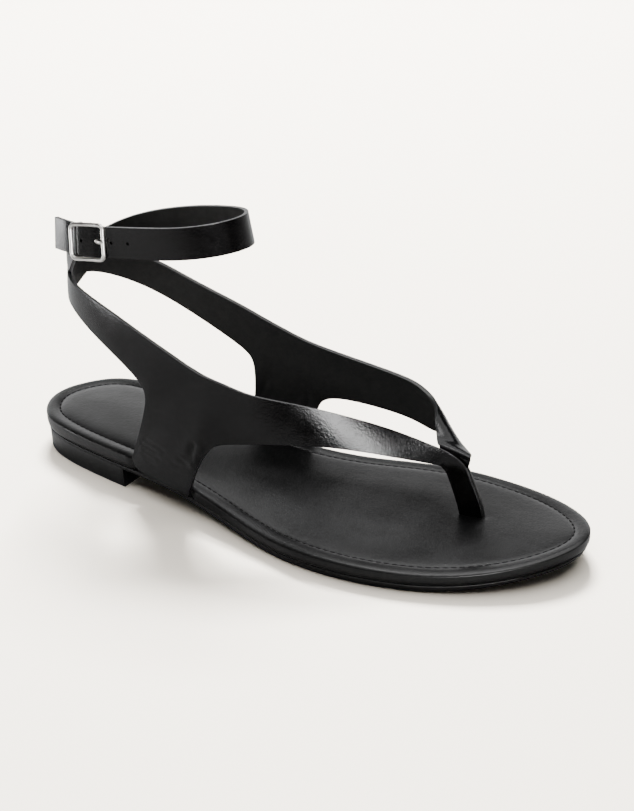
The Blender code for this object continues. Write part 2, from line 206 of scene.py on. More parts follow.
def tubeRows(path, sideways, flat, thick, steps=16, closed=False):      # oval rings along a path
    path = np.asarray(path, float)
    ahead = np.roll(path, -1, axis=0) - np.roll(path, 1, axis=0)
    if not closed:
        ahead[0], ahead[-1] = path[1] - path[0], path[-1] - path[-2]
    ahead = unit(ahead)
    across = unit(np.cross(ahead, np.broadcast_to(sideways, ahead.shape)))
    over = np.cross(across, ahead)
    turn = np.linspace(0.0, 2 * np.pi, steps, endpoint=False)
    flat, thick = np.broadcast_to(flat, len(path)), np.broadcast_to(thick, len(path))
    return [p + np.outer(np.cos(turn), a) * f + np.outer(np.sin(turn), o) * h
            for p, a, o, f, h in zip(path, across, over, flat, thick)]


# Materials

def newMaterial(name, look):
    material = bpy.data.materials.new(name)
    material.use_nodes = True
    tree = material.node_tree
    shader = tree.nodes["Principled BSDF"]
    for socket, value in look.get("shader", {}).items():
        shader.inputs[socket].default_value = value
    place = tree.nodes.new("ShaderNodeTexCoord").outputs["Object"]
    return material, tree, shader, place


def addNode(tree, kind, settings=None, **links):
    node = tree.nodes.new("ShaderNode" + kind)
    for key, value in (settings or {}).items():
        if key in node.inputs:
            node.inputs[key].default_value = value
        else:
            setattr(node, key, value)
    for key, source in links.items():
        tree.links.new(source, node.inputs[key.replace("_", " ")])
    return node


def addRange(tree, value, low, high, fromLow=0.0, fromHigh=1.0):
    stretch = addNode(tree, "MapRange", {"From Min": fromLow, "From Max": fromHigh,
                                         "To Min": low, "To Max": high}, Value=value)
    return stretch.outputs["Result"]


def addNoise(tree, place, size, detail=3.0, roughness=0.55):      # size of one blotch in mm
    noise = addNode(tree, "TexNoise", {"Scale": 1.0 / (size * mm), "Detail": detail,
                                       "Roughness": roughness}, Vector=place)
    return noise.outputs["Fac"]


def addCells(tree, place, size):      # pebbles of a size in mm
    cells = addNode(tree, "TexVoronoi", {"feature": "F1", "Scale": 1.0 / (size * mm)}, Vector=place)
    return cells.outputs["Distance"]


def addBump(tree, height, depth, under=None):      # depth in mm
    bump = addNode(tree, "Bump", {"Distance": depth * mm, "Strength": 1.0}, Height=height)
    if under is not None:
        tree.links.new(under.outputs["Normal"], bump.inputs["Normal"])
    return bump


def addTint(tree, factor, dark, light):
    mix = addNode(tree, "Mix", {"data_type": "RGBA"})
    tree.links.new(factor, mix.inputs["Factor"])
    # 6, 7 and 2 are the node's colour sockets
    mix.inputs[6].default_value = (*dark, 1.0)
    mix.inputs[7].default_value = (*light, 1.0)
    return mix.outputs[2]


def addSum(tree, first, second):
    total = addNode(tree, "Math", {"operation": "ADD"})
    tree.links.new(first, total.inputs[0])
    tree.links.new(second, total.inputs[1])
    return total.outputs[0]


finishNoise = {                  # the same in leather, rubber and thread
    "blotchDetail": 4.0,
    "fleckDetail": 2.0,
    "dyeSpread": (0.8, 1.2),     # of blotch and fleck together, from dark to light
    "shineSpread": (0.3, 0.7),
    "wrinkleDetail": (5.0, 0.6),      # detail, roughness
}


def makeLeather(name, look):     # rubber and thread too, with a finer grain
    material, tree, shader, place = newMaterial(name, look)
    blotches = addNoise(tree, place, look["blotch"], finishNoise["blotchDetail"])
    flecks = addNoise(tree, place, look["fleck"], finishNoise["fleckDetail"])
    mottle = addRange(tree, addSum(tree, blotches, flecks), 0.0, 1.0, *finishNoise["dyeSpread"])
    tree.links.new(addTint(tree, mottle, look["dark"], look["light"]), shader.inputs["Base Color"])
    shine = addNoise(tree, place, look["shineBlotch"])
    shine = addRange(tree, shine, *look["roughness"], *finishNoise["shineSpread"])
    tree.links.new(shine, shader.inputs["Roughness"])
    wrinkles = addNoise(tree, place, look["wrinkle"], *finishNoise["wrinkleDetail"])
    pebbles = addCells(tree, place, look["grain"])
    low = addBump(tree, wrinkles, look["wrinkleDepth"])
    top = addBump(tree, pebbles, look["grainDepth"], low)
    tree.links.new(top.outputs["Normal"], shader.inputs["Normal"])
    return material


strapLook = {                    # sizes and depths in mm
    "dark": (0.0010, 0.0010, 0.0011),
    "light": (0.0026, 0.0026, 0.0030),
    "blotch": 14.0,
    "fleck": 1.1,
    "shineBlotch": 7.0,
    "roughness": (0.13, 0.20),
    "grain": 0.6,
    "grainDepth": 0.026,
    "wrinkle": 1.2,
    "wrinkleDepth": 0.052,
    "shader": {"Specular IOR Level": 0.22},
}
liningLook = {
    "dark": (0.0016, 0.0016, 0.0017),
    "light": (0.0032, 0.0032, 0.0034),
    "blotch": 6.0,
    "fleck": 0.9,
    "shineBlotch": 5.0,
    "roughness": (0.62, 0.75),
    "grain": 0.5,
    "grainDepth": 0.04,
    "wrinkle": 1.5,
    "wrinkleDepth": 0.05,
    "shader": {"Specular IOR Level": 0.22, "Sheen Weight": 0.02, "Sheen Roughness": 0.5},
}
# edge paint, lighter than the strap leather: partly the paint's own tone, partly a painted highlight for the
# light the rounded cut edges catch
edgeLookWithHighlight = {
    "dark": (0.0050, 0.0050, 0.0052),
    "light": (0.0105, 0.0105, 0.0108),
    "blotch": 3.0,
    "fleck": 0.6,
    "shineBlotch": 2.0,
    "roughness": (0.34, 0.46),
    "grain": 0.35,
    "grainDepth": 0.02,
    "wrinkle": 1.0,
    "wrinkleDepth": 0.03,
    "shader": {"Specular IOR Level": 0.35},
}
bedLook = {
    "dark": (0.0010, 0.0010, 0.0010),
    "light": (0.0034, 0.0034, 0.0035),
    "blotch": 18.0,
    "fleck": 1.1,
    "shineBlotch": 12.0,
    "roughness": (0.28, 0.355),
    "grain": 0.7,
    "grainDepth": 0.03,
    "wrinkle": 2.2,
    "wrinkleDepth": 0.075,
    "shader": {"Specular IOR Level": 0.30},
}
soleLook = {
    "dark": (0.0014, 0.0014, 0.0014),
    "light": (0.0034, 0.0034, 0.0034),
    "blotch": 9.0,
    "fleck": 0.9,
    "shineBlotch": 5.0,
    "roughness": (0.42, 0.55),
    "grain": 0.4,
    "grainDepth": 0.02,
    "wrinkle": 1.2,
    "wrinkleDepth": 0.025,
    "shader": {"Specular IOR Level": 0.32},
}
heelLook = {**soleLook, "roughness": (0.36, 0.46), "shader": {"Specular IOR Level": 0.42}}
threadLook = {
    "dark": (0.0010, 0.0010, 0.0011),
    "light": (0.0026, 0.0026, 0.0027),
    "blotch": 1.2,
    "fleck": 0.4,
    "shineBlotch": 1.0,
    "roughness": (0.5, 0.65),
    "grain": 0.25,
    "grainDepth": 0.04,
    "wrinkle": 0.4,
    "wrinkleDepth": 0.03,
    "shader": {"Specular IOR Level": 0.15},
}
nickelLook = {
    "roughness": (0.28, 0.38),
    "smudge": (2.0, 4.0),        # size, detail
    "smudgeSpread": (0.35, 0.65),
    "polish": (1.2, 2.0),
    "polishDepth": 0.002,
    "shader": {"Base Color": (0.80, 0.775, 0.73, 1.0), "Metallic": 1.0},
}


def makeNickel(name, look):
    material, tree, shader, place = newMaterial(name, look)
    smudge = addNoise(tree, place, *look["smudge"])
    smudge = addRange(tree, smudge, *look["roughness"], *look["smudgeSpread"])
    tree.links.new(smudge, shader.inputs["Roughness"])
    polish = addBump(tree, addNoise(tree, place, *look["polish"]), look["polishDepth"])
    tree.links.new(polish.outputs["Normal"], shader.inputs["Normal"])
    return material


strapLeather = makeLeather("strapLeather", strapLook)
strapLining = makeLeather("strapLining", liningLook)
strapEdgeWithHighlight = makeLeather("strapEdgeWithHighlight", edgeLookWithHighlight)
bedLeather = makeLeather("bedLeather", bedLook)
soleRubber = makeLeather("soleRubber", soleLook)
heelStack = makeLeather("heelStack", heelLook)
thread = makeLeather("thread", threadLook)
nickel = makeNickel("nickel", nickelLook)
print("materials mixed")


# Sole

sole = {
    "heelBack": (0.6, 0.8),
    "toeTip": (249.0, -0.5),
    "sections": [                # x, outer side, inner side
        (6.8, -14.6, 17.0),
        (25.0, -24.8, 27.4),
        (62.0, -32.2, 23.8),
        (103.0, -39.0, 19.6),
        (140.0, -48.6, 26.0),
        (175.0, -50.8, 34.8),
        (210.0, -41.8, 33.3),
        (237.5, -23.2, 19.8),
    ],
    "outsole": 3.4,              # thickness
    "heelLift": 8.2,
    "breast": 59.0,
    "pitch": (60.0, 150.0),      # the sole comes down to the floor between these
    "spring": (195.0, 5.5),      # the toe rises from here, by this much
    "gap": 0.3,
    "heelDrop": (1.5, 50.0, 120.0),      # the seam over the outsole sits this much lower at the heel
    "splineSteps": 24,           # between two places of the outline
    "points": 240,               # round the outline
    "rungs": 44,                 # across the bed
}


def soleLift(x):
    start, rise = sole["spring"]
    pitch = sole["heelLift"] * (1.0 - smoothStep(*sole["pitch"], x))
    spring = np.maximum(np.asarray(x, float) - start, 0.0) / (sole["toeTip"][0] - start)
    return pitch + rise * spring**2


def seamDrop(x):
    drop, start, end = sole["heelDrop"]
    return drop * (1.0 - smoothStep(start, end, x))


def drawOutline():
    outer = [(x, y) for x, y, inner in sole["sections"]]
    inner = [(x, y) for x, outside, y in reversed(sole["sections"])]
    plan = splineThrough([sole["heelBack"], *outer, sole["toeTip"], *inner],
                         sole["splineSteps"], closed=True)
    return evenSpacing(plan, sole["points"])


outline = drawOutline()


def insetOutline(inset):
    ahead = unit(np.roll(outline, -1, axis=0) - np.roll(outline, 1, axis=0))
    inward = np.stack([-ahead[:, 1], ahead[:, 0]], axis=1)
    return outline + inward * np.reshape(inset, (-1, 1))


def rimAt(x, side):              # the rim's place sideways: side 1 is the outer side, -1 the inner
    edge = outline[outline[:, 1] * side < 0.0]
    order = np.argsort(edge[:, 0])
    return np.interp(x, edge[order, 0], edge[order, 1])


def capRows(ring):               # rungs straight across a closed ring, from the heel to the toe
    count = len(ring)
    share = np.linspace(0.0, 1.0, sole["rungs"] + 1)[:, None]
    return [ring[i] * (1.0 - share) + ring[-i % count] * share for i in range(count // 2 + 1)]


def soleSlab(name, profile, base):
    rings = [np.column_stack([insetOutline(inset), np.full(sole["points"], base + height)])
             for inset, height in profile]
    walls = loft(name, rings, ringClosed=True)
    top = loft(name + "Top", capRows(rings[-1]))
    bottom = loft(name + "Bottom", capRows(rings[0]))
    slab = joinAll(name, [walls, top, bottom])
    editAll(slab, mergeDoubles, bpy.ops.mesh.dissolve_degenerate, faceOutwards)
    return slab


def meshPoints(piece):           # vertex places in mm from the back of the heel
    flat = np.empty(len(piece.data.vertices) * 3)
    piece.data.vertices.foreach_get("co", flat)
    return flat.reshape(-1, 3) / mm + middle


def moveMesh(piece, points):
    piece.data.vertices.foreach_set("co", toFrame(points).ravel())
    piece.data.update()


outsole = {
    "profile": [                 # inset at the heel, inset ahead of it, height
        (3.2, 4.4, 0.0),
        (1.9, 3.1, 0.0),
        (1.35, 2.4, 0.12),
        (1.02, 1.9, 0.5),
        (0.9, 1.5, 1.1),
        (0.82, 1.15, 1.9),
        (0.8, 0.95, 2.6),
        (0.86, 0.9, 3.15),
        (1.1, 1.1, 3.4),
        (2.6, 2.6, 3.45),
    ],
    "ahead": (62.0, 90.0),       # the inset changes between these
    "thinToe": (1.2, 195.0, 245.0),      # thinner at the toe: by this much, from, to
    "sharpAngle": 60.0,
}


def makeOutsole():
    ahead = smoothStep(*outsole["ahead"], outline[:, 0])
    profile = [(back * (1.0 - ahead) + front * ahead, height) for back, front, height in outsole["profile"]]
    piece = soleSlab("outsole_rubber", profile, 0.0)
    points = meshPoints(piece)
    share = points[:, 2] / sole["outsole"]
    thin, start, end = outsole["thinToe"]
    points[:, 2] += thin * smoothStep(start, end, points[:, 0]) * (1.0 - share)
    points[:, 2] += soleLift(points[:, 0]) - seamDrop(points[:, 0]) * share
    moveMesh(piece, points)
    smoothShade(piece, outsole["sharpAngle"])
    finishPiece(piece, ["outsole"], "outsole", soleRubber)
    print("outsole:", len(piece.data.polygons), "faces")


heel = {
    "profile": [                 # inset, height
        (3.4, 0.0),
        (2.0, 0.0),
        (1.5, 0.1),
        (1.3, 0.4),
        (1.2, 1.2),
        (0.98, 7.2),
        (0.93, 8.3),
        (0.95, 8.8),
        (3.0, 8.8),
    ],
    "edgeRounding": 0.35,
    "sharpAngle": 35.0,
}


def makeHeel():
    piece = soleSlab("heel_block", heel["profile"], 0.0)
    front = toFrame((sole["breast"], 0.0, 0.0))
    pick(piece)
    bpy.ops.object.mode_set(mode="EDIT")
    bpy.ops.mesh.select_all(action="SELECT")
    bpy.ops.mesh.bisect(plane_co=front, plane_no=(1.0, 0.0, 0.0), use_fill=True, clear_outer=True)
    bpy.ops.object.mode_set(mode="OBJECT")
    roundEdges(piece, heel["edgeRounding"])
    smoothShade(piece, heel["sharpAngle"])
    finishPiece(piece, ["heel"], "heel", heelStack)
    print("heel:", len(piece.data.polygons), "faces")


# Footbed

stitch = {
    "spacing": 3.1,
    "length": 2.3,
    "width": 0.72,
    "height": 0.5,
    "inset": 6.0,                # in the groove of the footbed
    "lift": 4.62,                # over the footbed's base
    "segments": 8,
    "rings": 5,
    "sharpAngle": 80.0,
}
bed = {
    "profile": [                 # inset, height: rolled rim, stitched groove, start of the padding
        (4.0, 0.0),
        (1.3, 0.0),
        (0.75, 0.1),
        (0.45, 0.4),
        (0.25, 0.9),
        (0.12, 1.6),
        (0.08, 2.5),
        (0.08, 3.7),
        (0.1, 3.92),
        (0.16, 4.08),
        (0.26, 4.22),
        (0.48, 4.43),
        (0.78, 4.62),
        (1.1, 4.77),
        (1.5, 4.88),
        (2.0, 4.95),
        (2.7, 4.98),
        (3.5, 4.97),
        (4.2, 4.94),
        (4.8, 4.88),
        (5.3, 4.78),
        (5.65, 4.67),
        (5.85, 4.58),
        (6.0, 4.54),
        (6.15, 4.58),
        (6.4, 4.69),
        (6.9, 4.83),
        (8.2, 4.98),
        (10.6, 5.1),
        (14.0, 5.15),
    ],
    "heelGroove": (0.3, 2.6, 70.0, 150.0),      # deeper groove at the heel: depth, half width, from, to
    "topFrom": 3.0,              # height above which a point is on the top
    "seamFade": 4.5,             # height over which the seam's drop dies out
    "crown": (0.45, 9.0, 26.0),      # extra padding, which grows between these distances from the rim
    "legs": [                    # where the upper's legs press the rim in: side, from x, to x
        (1.0, 67.0, 98.0),
        (-1.0, 88.0, 117.5),
    ],
    "press": 1.5,
    "pressEase": (2.0, 0.5),     # outside and inside a leg's ends
    "pressReach": 6.0,           # in from the rim
    "postDimple": (201.2, 3.2, 0.5),      # x, y, depth
    "dimpleRadius": (2.0, 7.0),      # deepest, and where it ends
    "dimpleNarrow": 1.4,         # times narrower than long
    "fill": 0.85,
    "sharpAngle": 60.0,
}


def rimDistance(points):         # how far points lie in from the outline
    away = np.full(len(points), np.inf)
    for spot in outline:
        away = np.minimum(away, np.hypot(points[:, 0] - spot[0], points[:, 1] - spot[1]))
    return away


def makeFootbed():
    base = sole["outsole"] + sole["gap"]
    piece = soleSlab("footbed_padded", bed["profile"], base)
    points = meshPoints(piece)
    inside = rimDistance(points)
    top = points[:, 2] > base + bed["topFrom"]
    crown, start, end = bed["crown"]
    points[top, 2] += crown * smoothStep(start, end, inside[top])
    deep, half, start, end = bed["heelGroove"]
    trough = np.exp(-((inside - stitch["inset"]) / half)**2) * (1.0 - smoothStep(start, end, points[:, 0]))
    points[top, 2] -= deep * trough[top]
    fade = np.clip(1.0 - (points[:, 2] - base) / bed["seamFade"], 0.0, 1.0)
    points[:, 2] -= seamDrop(points[:, 0]) * fade
    x, y, depth = bed["postDimple"]
    away = np.hypot(points[:, 0] - x, (points[:, 1] - y) * bed["dimpleNarrow"])
    points[top, 2] -= depth * (1.0 - smoothStep(*bed["dimpleRadius"], away[top]))
    outside, within = bed["pressEase"]
    for side, start, end in bed["legs"]:
        along = smoothStep(start - outside, start + within, points[:, 0])
        along = along * (1.0 - smoothStep(end - within, end + outside, points[:, 0]))
        rim = np.abs(points[:, 1] - rimAt(points[:, 0], side))
        near = 1.0 - smoothStep(0.0, bed["pressReach"], rim)
        points[:, 1] += side * bed["press"] * along * near
    points[:, 2] += soleLift(points[:, 0])
    moveMesh(piece, points)
    smoothShade(piece, bed["sharpAngle"])
    finishPiece(piece, ["footbed"], "footbed", bedLeather)
    print("footbed:", len(piece.data.polygons), "faces")


def sewStitches(name, spots, directions, ups, share=1.0):      # one stitch, copied to each spot
    deselect()
    # a ball one unit across, which each copy scales to a stitch
    bpy.ops.mesh.primitive_uv_sphere_add(segments=stitch["segments"], ring_count=stitch["rings"], radius=0.5)
    first = bpy.context.object
    size = Vector((stitch["length"], stitch["width"], stitch["height"])) * share * mm
    copies = []
    for spot, ahead, up in zip(spots, directions, ups):
        ahead, up = Vector(ahead).normalized(), Vector(up)
        side = up.cross(ahead).normalized()
        turn = Matrix((ahead, side, ahead.cross(side))).transposed().to_4x4()
        copy = first.copy()
        copy.data = first.data.copy()
        copy.data.transform(Matrix.Translation(toFrame(spot)) @ turn @ Matrix.Diagonal((*size, 1.0)))
        bpy.context.collection.objects.link(copy)
        copies.append(copy)
    bpy.data.objects.remove(first)
    row = joinAll(name, copies)
    editAll(row, faceOutwards)
    smoothShade(row, stitch["sharpAngle"])
    return row


def makeBedStitching():
    path = insetOutline(stitch["inset"])
    length = np.linalg.norm(np.roll(path, -1, axis=0) - path, axis=1).sum()
    path = evenSpacing(path, int(length / stitch["spacing"]))
    height = sole["outsole"] + sole["gap"] + stitch["lift"]
    deep, half, start, end = bed["heelGroove"]
    height = height - deep * (1.0 - smoothStep(start, end, path[:, 0]))
    spots = np.column_stack([path, height + soleLift(path[:, 0])])
    ahead = np.roll(spots, -1, axis=0) - np.roll(spots, 1, axis=0)
    row = sewStitches("footbed_stitching", spots, ahead, [(0.0, 0.0, 1.0)] * len(spots))
    finishPiece(row, [], "footbed", thread)
    print("stitches round the footbed:", len(spots))


# Upper

outerBand = {
    "side": 1.0,
    # name, upper edge x y z, lower edge x y z, from the toe back; at a leg's foot the sole gives y and z
    "rows": [
        ("postRoot", 205.0, 2.9, 5.0, 195.7, 1.7, 5.0),
        ("postFoot", 204.7, 2.9, 9.5, 195.7, 1.7, 9.5),
        ("postMid", 202.7, 2.8, 17.0, 193.7, 1.5, 17.0),
        ("postTop", 199.9, 2.6, 24.1, 191.4, 1.3, 23.6),
        ("tip", 197.4, 2.2, 29.6, 190.4, 0.5, 26.9),
        ("fold", 192.0, 0.9, 34.2, 189.4, -1.4, 29.3),
        ("toe", 184.5, -3.0, 38.6, 186.3, -4.6, 31.2),
        ("joint", 170.5, -11.0, 45.6, 172.5, -15.0, 35.9),
        ("ball", 149.0, -23.3, 53.5, 150.5, -27.0, 39.9),
        ("instep", 129.0, -32.2, 57.6, 123.5, -36.8, 38.7),
        ("arch", 118.5, -36.0, 61.0, 110.0, -38.5, 34.0),
        ("legBend", 111.0, -37.0, 63.0, 102.0, -38.6, 21.5),
        ("legFront", 108.5, -37.1, 63.6, 97.5, 0.0, 0.0),
        ("legMid", 106.0, -37.2, 64.3, 85.0, 0.0, 0.0),
        ("legRear", 103.0, -37.1, 65.3, 67.5, 0.0, 0.0),
        ("legBack", 99.5, -36.9, 66.4, 70.2, -34.1, 24.0),
        ("fork", 92.0, -36.3, 69.1, 77.8, -35.8, 43.5),
        ("branch", 79.0, -34.5, 73.1, 75.0, -35.0, 53.8),
        ("side", 60.0, -30.2, 77.7, 60.0, -31.6, 61.6),
        ("ankle", 40.0, -22.5, 79.8, 41.5, -24.5, 67.4),
        ("turn", 25.5, -12.5, 80.6, 25.5, -13.5, 70.8),
        ("back", 18.4, 0.0, 83.5, 17.6, 0.2, 70.4),
        ("cross", 22.5, 10.5, 90.0, 20.0, 10.0, 76.0),
    ],
    "bulges": {},                # where a row isn't crowned as the sheet is
    "creases": [                 # from x z, to x z, width, depth
        (102.4, 33.6, 100.6, 29.6, 1.7, 0.36),
        (97.4, 27.6, 101.2, 27.0, 1.0, 0.24),
        (94.4, 25.3, 98.4, 25.1, 1.0, 0.22),
        (93.8, 22.9, 99.0, 23.3, 1.0, 0.18),
        (90.2, 22.6, 93.8, 21.6, 1.0, 0.14),
        (76.2, 28.2, 85.6, 26.4, 0.9, 0.13),
        (74.2, 26.0, 82.0, 24.4, 0.9, 0.18),
        (75.0, 23.4, 83.0, 21.8, 0.9, 0.2),
        (74.0, 21.4, 79.4, 20.2, 0.9, 0.18),
        (75.4, 19.0, 80.6, 17.9, 0.9, 0.13),
    ],
}
innerBand = {
    "side": -1.0,
    "rows": [
        ("tuck", 190.5, 4.6, 27.5, 197.0, 4.9, 26.0),
        ("tip", 186.2, 3.8, 34.2, 198.4, 5.2, 31.4),
        ("toe", 182.8, 7.2, 36.0, 195.6, 8.8, 31.4),
        ("knuckle", 179.8, 12.0, 40.4, 189.0, 14.0, 31.6),
        ("joint", 176.6, 17.4, 44.4, 181.0, 20.0, 30.4),
        ("bend", 170.5, 20.6, 47.3, 171.5, 23.6, 29.8),
        ("ball", 162.0, 22.2, 49.6, 162.0, 25.0, 31.4),
        ("instep", 146.0, 22.8, 51.6, 147.0, 24.8, 33.0),
        ("arch", 127.0, 23.0, 53.8, 127.5, 24.0, 32.6),
        ("legBend", 117.5, 22.8, 55.4, 119.2, 22.4, 25.5),
        ("legFront", 113.5, 22.7, 56.3, 117.0, 0.0, 0.0),
        ("legMid", 109.0, 22.6, 57.5, 104.0, 0.0, 0.0),
        ("legRear", 104.5, 22.4, 59.0, 88.5, 0.0, 0.0),
        ("legBack", 100.5, 22.2, 60.3, 90.2, 21.0, 26.0),
        ("fork", 94.0, 22.0, 62.5, 90.0, 22.0, 40.0),
        ("branch", 82.0, 21.7, 66.5, 82.5, 22.3, 47.8),
        ("side", 62.0, 20.8, 72.8, 62.0, 21.8, 57.2),
        ("ankle", 42.0, 17.4, 80.5, 40.0, 19.0, 66.4),
        ("turn", 25.5, 8.0, 86.5, 24.0, 9.6, 73.4),
        ("back", 20.6, -1.5, 88.8, 19.0, -0.5, 75.4),
        ("rise", 25.0, -11.0, 92.6, 23.4, -9.6, 79.6),
    ],
    "bulges": {"tip": 0.03, "toe": 0.05, "knuckle": 0.08, "joint": 0.07, "bend": 0.03},
    "creases": [
        (106.0, 20.0, 114.0, 30.0, 1.3, 0.2),
        (92.0, 21.0, 98.0, 33.0, 1.5, 0.14),
    ],
}
ankleStrap = {
    "width": 12.6,
    "pinched": 12.1,             # in the buckle
    "pinchReach": 9.0,           # on both sides of the centre bar
    "crown": 0.0,
    "centre": (60.0, 0.0),       # it leans away from here
    "rows": [                    # x, y, z, lean in degrees
        (36.0, 18.0, 91.2, 4.0),
        (58.0, 21.0, 97.6, 4.0),
        (80.0, 18.8, 102.4, 6.0),
        (96.8, 11.5, 106.4, 8.5),
        (104.8, 0.0, 108.8, 10.0),
        (100.2, -11.0, 108.4, 9.5),
        (86.4, -18.2, 106.4, 6.5),
        (68.0, -20.8, 104.2, 3.0),
    ],
    "weave": [                   # over the centre bar: behind it, out of it, up along it, lean
        (-8.2, 0.0, 0.9, 8.0),
        (-3.6, 0.5, 0.6, 10.0),
        (0.0, 0.7, 0.4, 10.0),
        (4.4, 0.75, 0.3, 10.0),
        (6.4, 0.35, 0.3, 9.5),
        (8.4, -0.35, 0.3, 9.0),
        (12.5, -0.5, 0.4, 8.0),
        (19.0, -1.6, 0.6, 10.0),
    ],
    "fold": [                    # the short end's turn round the centre bar
        (9.0, -2.3, -1.0, 8.0),
        (4.0, -0.9, -1.0, 10.0),
        (1.2, 0.1, -0.8, 10.0),
        (-1.2, 0.1, -0.8, 10.0),
        (-1.9, -1.0, -1.2, 10.0),
        (-0.8, -2.7, -1.7, 10.0),
        (4.0, -3.1, -2.0, 10.0),
        (9.0, -3.1, -2.0, 9.0),
        (14.0, -3.2, -2.0, 9.0),
    ],
    "holes": (-19.2, -11.8, -4.2, 3.4),      # behind the centre bar
    "hole": (0.65, 1.1),         # radius, depth
    "pin": (20, 4.0),            # sides and length of the punch
}
sheet = {
    "columns": 14,               # between two rows
    "steps": 70,                 # across a strap
    "crown": 0.015,              # bulge as a share of the width
    "proud": 0.4,                # a leg's middle outside the rim
    "footCorner": 5.0,           # rounding of a leg's rear corner
    "edgeRounding": 0.32,
    "creaseFade": (0.8, 4.0),    # creases die out between these distances from an edge
    "creaseRidge": (0.35, 1.7),      # share of the depth, widths from the middle
    "footEase": 1.5,             # lines stand closer at a leg's rounded corner
    "sharpAngle": 45.0,
}
buckle = {
    "centre": (44.8, -20.8, 101.0),
    "tangent": (-1.0, 0.05, -0.05),
    "length": 17.8,
    "height": 15.2,
    "corner": 2.0,
    "turn": (-11.0, -3.0, -4.6),      # how the frame lies, in degrees about along, across and out
    "wire": (0.84, 0.8),         # half its width in the frame's plane, half its thickness
    "barsOut": 1.8,
    "sidesOut": 1.3,             # the long sides are bowed a little
    "centreOut": -1.0,
    "cornerSteps": 9,
    "ringSteps": 120,
    "bar": 0.72,                 # radius of the centre bar
    "barBend": (0.88, 0.97),     # it drops between these shares of the half height
    "barBendOut": -0.3,          # half way down
    "barSteps": 6,
    "prong": (0.95, 0.5),        # half its width, half its thickness
    "hook": 1.7,                 # radius of its turn round the centre bar
    "hookTurn": (-130.0, 90.0, 9),      # from, to, steps
    "prongRise": [(-3.6, 1.0), (-5.6, 2.3)],      # along, out: up to the front bar
    "prongTip": (-7.4, -8.9),    # it rests on the front bar between these
    "prongRest": 0.1,            # clear of the front bar
    "prongAcross": 0.35,
    "prongSteps": 5,
    "prongTaper": (0.35, 0.75, 1.0),      # narrower by this share, between these shares of its length
    "sharpAngle": 50.0,
}


def buckleAxes():
    along = Vector(buckle["tangent"]).normalized()
    out = Vector((-along.y, along.x, 0.0)).normalized()
    return along, along.cross(out).normalized(), out


def atBuckle(along, across, out):
    axes = buckleAxes()
    return np.array(Vector(buckle["centre"]) + axes[0] * along + axes[1] * across + axes[2] * out)


def legFoot(x, band):            # a leg's lower edge, with its rear corner rounded
    rear = next(row[4] for row in band["rows"] if row[0] == "legRear")
    height = soleLift(x) + sole["outsole"] + sole["gap"] + leatherThickness / 2
    corner = np.clip(1.0 - (x - rear) / sheet["footCorner"], 0.0, 1.0)
    height = height + sheet["footCorner"] * (1.0 - np.sqrt(1.0 - corner**2))
    return np.column_stack([x, rimAt(x, band["side"]) - band["side"] * sheet["proud"], height])


def bandEdges(band):             # both edges of a side band, and where its leg's foot starts and ends
    upper = [row[1:4] for row in band["rows"]]
    lower, corners = [], []
    for index, row in enumerate(band["rows"]):
        if row[0] in ("legFront", "legMid", "legRear"):
            lower.append(tuple(legFoot(np.array([row[4]]), band)[0]))
            if row[0] != "legMid":
                corners.append(index)
        else:
            lower.append(row[4:7])
    return upper, lower, corners


def strapEdges():                # both edges of the ankle strap's loop
    upper, lower = [], []
    centre = Vector((*ankleStrap["centre"], 0.0))
    half = ankleStrap["width"] / 2
    for x, y, z, lean in ankleStrap["rows"]:
        out = (Vector((x, y, 0.0)) - centre).normalized()
        slant = math.radians(lean)
        rise = Vector((0.0, 0.0, half * math.cos(slant))) - out * half * math.sin(slant)
        upper.append(tuple(Vector((x, y, z)) + rise))
        lower.append(tuple(Vector((x, y, z)) - rise))
    return upper, lower


def buckleEdges(rows):
    upper, lower = [], []
    for along, out, shift, lean in rows:
        slant = math.radians(lean)
        half = ankleStrap["pinched" if abs(along) < ankleStrap["pinchReach"] else "width"] / 2
        up = half * math.cos(slant)
        inward = half * math.sin(slant)
        upper.append(tuple(atBuckle(along, shift + up, out - inward)))
        lower.append(tuple(atBuckle(along, shift - up, out + inward)))
    return upper, lower


def brokenSpline(points, corners):
    stops = [0, *corners, len(points) - 1]
    runs = [splineThrough(points[a:b + 1], sheet["columns"]) for a, b in zip(stops, stops[1:])]
    return np.vstack([run[:-1] for run in runs[:-1]] + [runs[-1]])


def creaseDepth(points, creases):      # soft troughs with a low ridge on each side
    depth = np.zeros(len(points))
    ridge, spread = sheet["creaseRidge"]
    for x0, z0, x1, z1, width, deep in creases:
        start, run = np.array((x0, z0)), np.array((x1 - x0, z1 - z0))
        share = ((points[:, (0, 2)] - start) @ run) / (run @ run)
        nearest = start + np.clip(share, 0.0, 1.0)[:, None] * run
        away = np.linalg.norm(points[:, (0, 2)] - nearest, axis=1) / width
        depth += deep * (np.exp(-away**2) - ridge * np.exp(-(away - spread)**2))
    return depth


def bandRows(band, upper, lower, corners):
    top = brokenSpline(upper, [])
    low = brokenSpline(lower, corners)
    first, last = (corner * sheet["columns"] for corner in corners)
    toRear = np.linspace(1.0, 0.0, last - first + 1)**sheet["footEase"]
    low[first:last + 1] = legFoot(low[last, 0] + (low[first, 0] - low[last, 0]) * toRear, band)
    run = np.gradient(top + low, axis=0)
    out = unit(np.cross(run, low - top) * band["side"])
    crown = [band["bulges"].get(row[0], sheet["crown"]) for row in band["rows"]]
    crown += [ankleStrap["crown"]] * (len(upper) - len(crown))
    crown = np.interp(np.arange(len(top)) / sheet["columns"], np.arange(len(crown)), crown)
    bulge = (crown * np.linalg.norm(low - top, axis=1))[:, None]
    rows = []
    for v in np.linspace(0.0, 1.0, sheet["steps"] + 1):
        row = top + (low - top) * v + out * bulge * 4.0 * v * (1.0 - v)
        fade = smoothStep(*sheet["creaseFade"], np.linalg.norm(low - top, axis=1) * min(v, 1.0 - v))
        rows.append(row - out * (fade * creaseDepth(row, band["creases"]))[:, None])
    return rows


